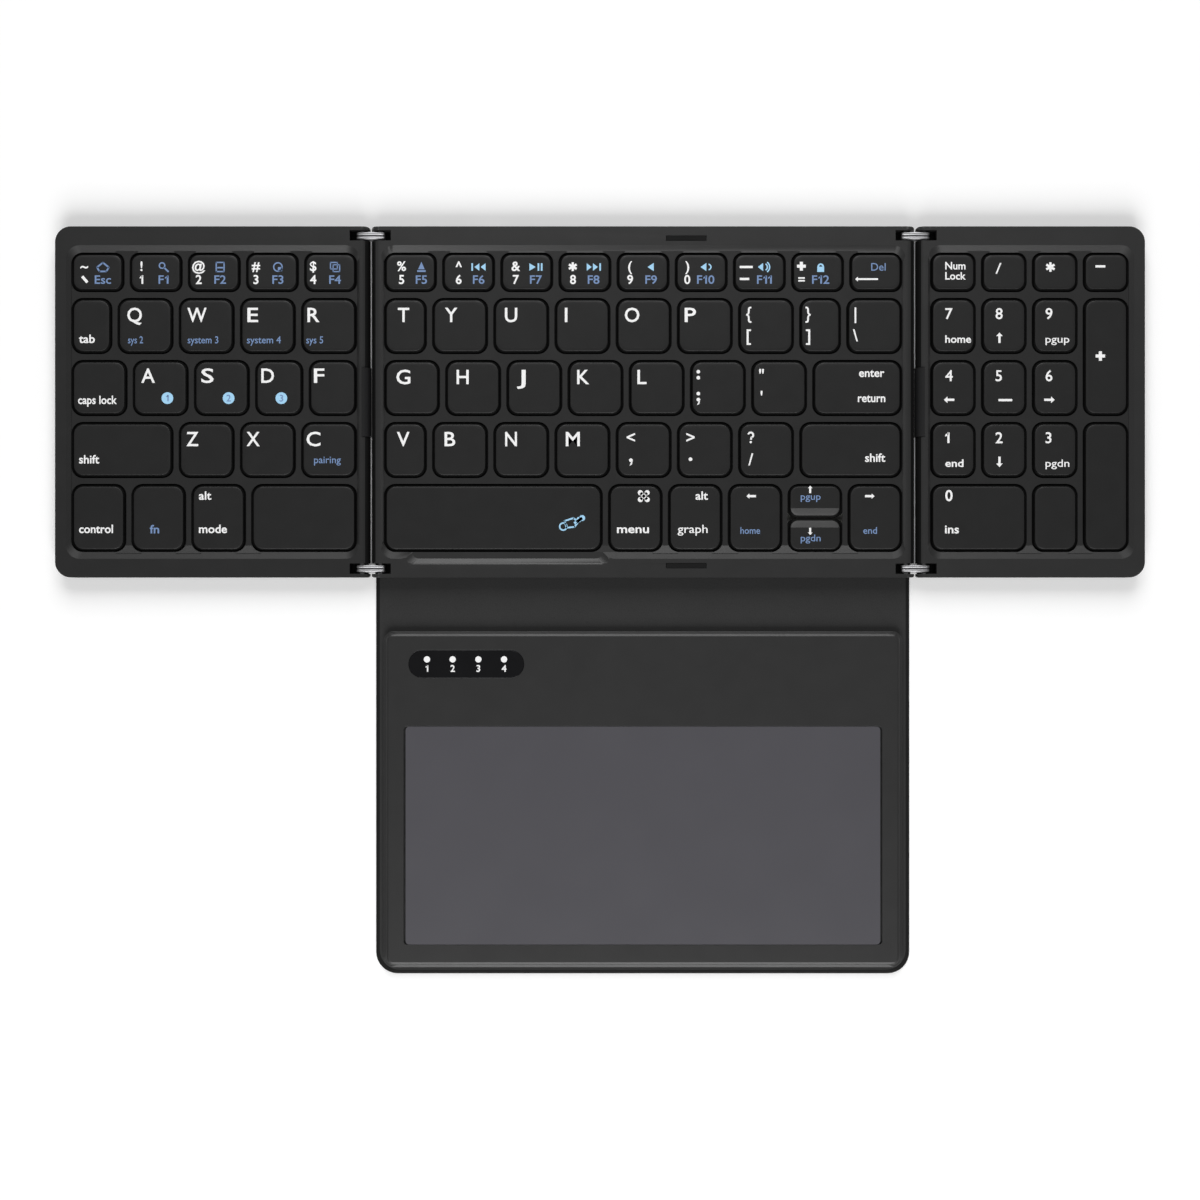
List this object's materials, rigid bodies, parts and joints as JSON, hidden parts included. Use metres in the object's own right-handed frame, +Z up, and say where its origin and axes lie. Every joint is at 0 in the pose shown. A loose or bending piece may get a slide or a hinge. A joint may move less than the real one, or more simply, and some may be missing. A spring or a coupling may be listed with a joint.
{
  "type": "folding keyboard",
  "caption": "Flat tri-fold keyboard with a number pad on one side panel and a flip cover that carries a touchpad and folds over the closed stack.",
  "frame": {"origin": "middle of the open outline seen from above, on the surface that it lies on", "axes": "+X along the keyboard towards the number pad, +Y towards its rear edge, +Z up out of the keys"},
  "size_m": [0.3334, 0.2296, 0.0065],
  "materials": {
    "shell": "fine matt moulded texture",
    "base_shell": "matt moulded",
    "grid": "matt moulded",
    "keycap": "smooth matt with printed legends",
    "switch_laminate": "printed film on a thin backing plate",
    "silicone": "translucent silicone",
    "steel": "drawn steel",
    "link_metal": "satin",
    "rubber_trim": "matt",
    "cover_skin": "fine grained imitation leather",
    "case_plastic": "fine matt moulded texture",
    "touch_film": "satin film",
    "circuit_board": "solder mask",
    "battery_foil": "laminated foil pouch",
    "window": "smoked gloss"
  },
  "bodies": {
    "centre": {"centre_bezel": "shell", "centre_key_grid": "grid", "centre_base": "base_shell", "centre_switch_sheet": "switch_laminate", "centre_dome_sheet": "silicone", "centre_hinge_pins": "steel", "bumper_pads": "rubber_trim", "main_board": "circuit_board", "usb_socket": "steel", "cover_back": "cover_skin"},
    "left_link": {"left_hinge_links": "link_metal"},
    "left": {"left_bezel": "shell", "left_key_grid": "grid", "left_base": "base_shell", "left_switch_sheet": "switch_laminate", "left_dome_sheet": "silicone", "left_hinge_pins": "steel", "left_flex_boot": "rubber_trim", "left_feet": "rubber_trim"},
    "right_link": {"right_hinge_links": "link_metal"},
    "right": {"right_bezel": "shell", "right_key_grid": "grid", "right_base": "base_shell", "right_switch_sheet": "switch_laminate", "right_dome_sheet": "silicone", "right_hinge_pins": "steel", "right_flex_boot": "rubber_trim", "right_feet": "rubber_trim"},
    "spine": {"cover_spine": "cover_skin"},
    "cover": {"cover_flap": "cover_skin", "touchpad_case": "case_plastic", "touchpad_base": "base_shell", "touchpad_surface": "touch_film", "touchpad_board": "circuit_board", "battery": "battery_foil", "status_window": "window"},
    "left_number_keys": {"left_number_keys": "keycap"},
    "tab_key": {"tab_key": "keycap"},
    "left_letter_keys": {"left_letter_keys": "keycap"},
    "caps_lock_key": {"caps_lock_key": "keycap"},
    "left_shift_key": {"left_shift_key": "keycap"},
    "left_modifier_keys": {"left_modifier_keys": "keycap"},
    "left_space_key": {"left_space_key": "keycap"},
    "centre_number_keys": {"centre_number_keys": "keycap"},
    "centre_letter_keys": {"centre_letter_keys": "keycap"},
    "centre_symbol_keys": {"centre_symbol_keys": "keycap"},
    "enter_key": {"enter_key": "keycap"},
    "right_shift_key": {"right_shift_key": "keycap"},
    "space_bar": {"space_bar": "keycap"},
    "right_modifier_keys": {"right_modifier_keys": "keycap"},
    "left_arrow_key": {"left_arrow_key": "keycap"},
    "up_arrow_key": {"up_arrow_key": "keycap"},
    "down_arrow_key": {"down_arrow_key": "keycap"},
    "right_arrow_key": {"right_arrow_key": "keycap"},
    "pad_top_keys": {"pad_top_keys": "keycap"},
    "pad_digit_keys": {"pad_digit_keys": "keycap"},
    "pad_plus_key": {"pad_plus_key": "keycap"},
    "pad_enter_key": {"pad_enter_key": "keycap"},
    "pad_zero_key": {"pad_zero_key": "keycap"},
    "pad_point_key": {"pad_point_key": "keycap"}
  },
  "joints": [
    {"name": "left_link_fold", "type": "hinge", "parent": "centre", "child": "left_link", "pos_m": [-0.0674, 0.06115, 0.0035], "axis": [0, 1, 0], "range_deg": [0, 90]},
    {"name": "left_fold", "type": "hinge", "parent": "left_link", "child": "left", "pos_m": [-0.0732, 0.06115, 0.0035], "axis": [0, 1, 0], "range_deg": [0, 90]},
    {"name": "right_link_fold", "type": "hinge", "parent": "centre", "child": "right_link", "pos_m": [0.0938, 0.06115, 0.0035], "axis": [0, -1, 0], "range_deg": [0, 90]},
    {"name": "right_fold", "type": "hinge", "parent": "right_link", "child": "right", "pos_m": [0.0996, 0.06115, 0.0035], "axis": [0, -1, 0], "range_deg": [0, 90]},
    {"name": "spine_fold", "type": "hinge", "parent": "centre", "child": "spine", "pos_m": [0.0132, 0.0069, 0.0004], "axis": [-1, 0, 0], "range_deg": [0, 90]},
    {"name": "cover_fold", "type": "hinge", "parent": "spine", "child": "cover", "pos_m": [0.0132, -0.0086, 0.0004], "axis": [-1, 0, 0], "range_deg": [0, 90]},
    {"name": "left_number_keys_press", "type": "slide", "parent": "left", "child": "left_number_keys", "axis": [0, 0, -1], "range_m": [0, 0.0014], "stiffness_N_per_m": 250, "springref_m": -0.0015, "deforming": ["left_dome_sheet"]},
    {"name": "tab_key_press", "type": "slide", "parent": "left", "child": "tab_key", "axis": [0, 0, -1], "range_m": [0, 0.0014], "stiffness_N_per_m": 250, "springref_m": -0.0015, "deforming": ["left_dome_sheet"]},
    {"name": "left_letter_keys_press", "type": "slide", "parent": "left", "child": "left_letter_keys", "axis": [0, 0, -1], "range_m": [0, 0.0014], "stiffness_N_per_m": 250, "springref_m": -0.0015, "deforming": ["left_dome_sheet"]},
    {"name": "caps_lock_key_press", "type": "slide", "parent": "left", "child": "caps_lock_key", "axis": [0, 0, -1], "range_m": [0, 0.0014], "stiffness_N_per_m": 250, "springref_m": -0.0015, "deforming": ["left_dome_sheet"]},
    {"name": "left_shift_key_press", "type": "slide", "parent": "left", "child": "left_shift_key", "axis": [0, 0, -1], "range_m": [0, 0.0014], "stiffness_N_per_m": 250, "springref_m": -0.0015, "deforming": ["left_dome_sheet"]},
    {"name": "left_modifier_keys_press", "type": "slide", "parent": "left", "child": "left_modifier_keys", "axis": [0, 0, -1], "range_m": [0, 0.0014], "stiffness_N_per_m": 250, "springref_m": -0.0015, "deforming": ["left_dome_sheet"]},
    {"name": "left_space_key_press", "type": "slide", "parent": "left", "child": "left_space_key", "axis": [0, 0, -1], "range_m": [0, 0.0014], "stiffness_N_per_m": 250, "springref_m": -0.0015, "deforming": ["left_dome_sheet"]},
    {"name": "centre_number_keys_press", "type": "slide", "parent": "centre", "child": "centre_number_keys", "axis": [0, 0, -1], "range_m": [0, 0.0014], "stiffness_N_per_m": 250, "springref_m": -0.0015, "deforming": ["centre_dome_sheet"]},
    {"name": "centre_letter_keys_press", "type": "slide", "parent": "centre", "child": "centre_letter_keys", "axis": [0, 0, -1], "range_m": [0, 0.0014], "stiffness_N_per_m": 250, "springref_m": -0.0015, "deforming": ["centre_dome_sheet"]},
    {"name": "centre_symbol_keys_press", "type": "slide", "parent": "centre", "child": "centre_symbol_keys", "axis": [0, 0, -1], "range_m": [0, 0.0014], "stiffness_N_per_m": 250, "springref_m": -0.0015, "deforming": ["centre_dome_sheet"]},
    {"name": "enter_key_press", "type": "slide", "parent": "centre", "child": "enter_key", "axis": [0, 0, -1], "range_m": [0, 0.0014], "stiffness_N_per_m": 250, "springref_m": -0.0015, "deforming": ["centre_dome_sheet"]},
    {"name": "right_shift_key_press", "type": "slide", "parent": "centre", "child": "right_shift_key", "axis": [0, 0, -1], "range_m": [0, 0.0014], "stiffness_N_per_m": 250, "springref_m": -0.0015, "deforming": ["centre_dome_sheet"]},
    {"name": "space_bar_press", "type": "slide", "parent": "centre", "child": "space_bar", "axis": [0, 0, -1], "range_m": [0, 0.0014], "stiffness_N_per_m": 250, "springref_m": -0.0015, "deforming": ["centre_dome_sheet"]},
    {"name": "right_modifier_keys_press", "type": "slide", "parent": "centre", "child": "right_modifier_keys", "axis": [0, 0, -1], "range_m": [0, 0.0014], "stiffness_N_per_m": 250, "springref_m": -0.0015, "deforming": ["centre_dome_sheet"]},
    {"name": "left_arrow_key_press", "type": "slide", "parent": "centre", "child": "left_arrow_key", "axis": [0, 0, -1], "range_m": [0, 0.0014], "stiffness_N_per_m": 250, "springref_m": -0.0015, "deforming": ["centre_dome_sheet"]},
    {"name": "up_arrow_key_press", "type": "slide", "parent": "centre", "child": "up_arrow_key", "axis": [0, 0, -1], "range_m": [0, 0.0014], "stiffness_N_per_m": 250, "springref_m": -0.0015, "deforming": ["centre_dome_sheet"]},
    {"name": "down_arrow_key_press", "type": "slide", "parent": "centre", "child": "down_arrow_key", "axis": [0, 0, -1], "range_m": [0, 0.0014], "stiffness_N_per_m": 250, "springref_m": -0.0015, "deforming": ["centre_dome_sheet"]},
    {"name": "right_arrow_key_press", "type": "slide", "parent": "centre", "child": "right_arrow_key", "axis": [0, 0, -1], "range_m": [0, 0.0014], "stiffness_N_per_m": 250, "springref_m": -0.0015, "deforming": ["centre_dome_sheet"]},
    {"name": "pad_top_keys_press", "type": "slide", "parent": "right", "child": "pad_top_keys", "axis": [0, 0, -1], "range_m": [0, 0.0014], "stiffness_N_per_m": 250, "springref_m": -0.0015, "deforming": ["right_dome_sheet"]},
    {"name": "pad_digit_keys_press", "type": "slide", "parent": "right", "child": "pad_digit_keys", "axis": [0, 0, -1], "range_m": [0, 0.0014], "stiffness_N_per_m": 250, "springref_m": -0.0015, "deforming": ["right_dome_sheet"]},
    {"name": "pad_plus_key_press", "type": "slide", "parent": "right", "child": "pad_plus_key", "axis": [0, 0, -1], "range_m": [0, 0.0014], "stiffness_N_per_m": 250, "springref_m": -0.0015, "deforming": ["right_dome_sheet"]},
    {"name": "pad_enter_key_press", "type": "slide", "parent": "right", "child": "pad_enter_key", "axis": [0, 0, -1], "range_m": [0, 0.0014], "stiffness_N_per_m": 250, "springref_m": -0.0015, "deforming": ["right_dome_sheet"]},
    {"name": "pad_zero_key_press", "type": "slide", "parent": "right", "child": "pad_zero_key", "axis": [0, 0, -1], "range_m": [0, 0.0014], "stiffness_N_per_m": 250, "springref_m": -0.0015, "deforming": ["right_dome_sheet"]},
    {"name": "pad_point_key_press", "type": "slide", "parent": "right", "child": "pad_point_key", "axis": [0, 0, -1], "range_m": [0, 0.0014], "stiffness_N_per_m": 250, "springref_m": -0.0015, "deforming": ["right_dome_sheet"]}
  ],
  "couplings": [
    {"joint": "left_link_fold", "follows": "left_fold", "ratio": 1},
    {"joint": "right_link_fold", "follows": "right_fold", "ratio": 1}
  ]
}
